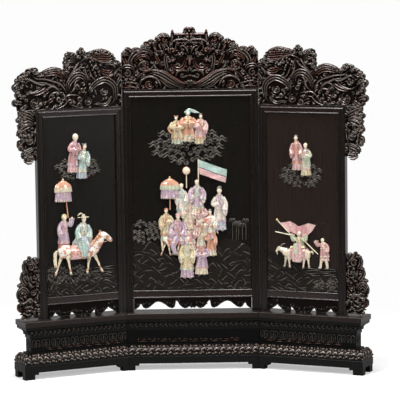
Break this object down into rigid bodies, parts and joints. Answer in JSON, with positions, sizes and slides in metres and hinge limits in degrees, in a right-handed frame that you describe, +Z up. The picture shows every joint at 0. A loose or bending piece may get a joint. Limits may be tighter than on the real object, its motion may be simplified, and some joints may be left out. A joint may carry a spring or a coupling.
{
  "type": "folding table screen",
  "caption": "Carved hardwood table screen: a centre leaf between two forward-angled wings with applied porcelain figures, on a hinged sectional stand.",
  "frame": {"origin": "middle of the footprint, on the surface that the feet stand on", "axes": "+X to the viewer's right along the centre leaf, -Y towards the viewer, +Z up"},
  "size_m": [0.8956, 0.1974, 0.855],
  "materials": {
    "frame_wood": "polished blackwood",
    "carved_wood": "polished, reddish in the relief",
    "panel_wood": "satin, near black",
    "porcelain_rose": "glazed porcelain with pink, lilac and cream enamels",
    "porcelain_turquoise": "glazed porcelain with turquoise and orange enamels",
    "porcelain_white": "white glazed porcelain with iron-red spots",
    "brass": "worn brass"
  },
  "bodies": {
    "centre_stand": {"centre_plinth": "frame_wood", "centre_petal_moulding": "carved_wood", "centre_waist": "frame_wood", "centre_leaf_moulding": "carved_wood", "centre_top_board": "frame_wood", "left_hinge_fixed": "brass", "left_hinge_pins": "brass", "right_hinge_fixed": "brass", "right_hinge_pins": "brass", "centre_screws": "brass"},
    "left_stand": {"left_plinth": "frame_wood", "left_petal_moulding": "carved_wood", "left_waist": "frame_wood", "left_leaf_moulding": "carved_wood", "left_top_board": "frame_wood", "left_hinge_moving": "brass", "left_screws": "brass"},
    "right_stand": {"right_plinth": "frame_wood", "right_petal_moulding": "carved_wood", "right_waist": "frame_wood", "right_leaf_moulding": "carved_wood", "right_top_board": "frame_wood", "right_hinge_moving": "brass", "right_screws": "brass"},
    "centre_leaf": {"centre_left_stile": "frame_wood", "centre_right_stile": "frame_wood", "centre_top_rail": "frame_wood", "centre_bottom_rail": "frame_wood", "centre_panel": "panel_wood", "centre_apron": "frame_wood", "centre_sky_group": "porcelain_rose", "centre_procession": "porcelain_rose", "centre_banner": "porcelain_turquoise"},
    "left_leaf": {"left_inner_stile": "frame_wood", "left_outer_stile": "frame_wood", "left_top_rail": "frame_wood", "left_bottom_rail": "frame_wood", "left_panel": "panel_wood", "left_apron": "frame_wood", "left_ear": "carved_wood", "left_spandrel": "carved_wood", "left_sky_pair": "porcelain_rose", "left_parasol": "porcelain_turquoise", "left_attendant": "porcelain_rose", "left_rider": "porcelain_rose", "left_horse": "porcelain_white"},
    "right_leaf": {"right_inner_stile": "frame_wood", "right_outer_stile": "frame_wood", "right_top_rail": "frame_wood", "right_bottom_rail": "frame_wood", "right_panel": "panel_wood", "right_apron": "frame_wood", "right_ear": "carved_wood", "right_spandrel": "carved_wood", "right_sky_pair": "porcelain_rose", "right_rider": "porcelain_rose", "right_herd": "porcelain_white"},
    "centre_crest": {"centre_crest": "carved_wood"},
    "left_crest": {"left_crest": "carved_wood"},
    "right_crest": {"right_crest": "carved_wood"}
  },
  "joints": [
    {"name": "left_fold", "type": "hinge", "parent": "centre_stand", "child": "left_stand", "pos_m": [-0.17986, 0.09493, 0], "axis": [0, 0, -1], "range_deg": [0, 115]},
    {"name": "right_fold", "type": "hinge", "parent": "centre_stand", "child": "right_stand", "pos_m": [0.17986, 0.09493, 0], "axis": [0, 0, 1], "range_deg": [0, 115]},
    {"name": "centre_leaf_lift", "type": "slide", "parent": "centre_stand", "child": "centre_leaf", "axis": [0, 0, 1], "range_m": [0, 0.04]},
    {"name": "left_leaf_lift", "type": "slide", "parent": "left_stand", "child": "left_leaf", "axis": [0, 0, 1], "range_m": [0, 0.04]},
    {"name": "right_leaf_lift", "type": "slide", "parent": "right_stand", "child": "right_leaf", "axis": [0, 0, 1], "range_m": [0, 0.04]},
    {"name": "centre_crest_lift", "type": "slide", "parent": "centre_leaf", "child": "centre_crest", "axis": [0, 0, 1], "range_m": [0, 0.02]},
    {"name": "left_crest_lift", "type": "slide", "parent": "left_leaf", "child": "left_crest", "axis": [0, 0, 1], "range_m": [0, 0.02]},
    {"name": "right_crest_lift", "type": "slide", "parent": "right_leaf", "child": "right_crest", "axis": [0, 0, 1], "range_m": [0, 0.02]}
  ]
}
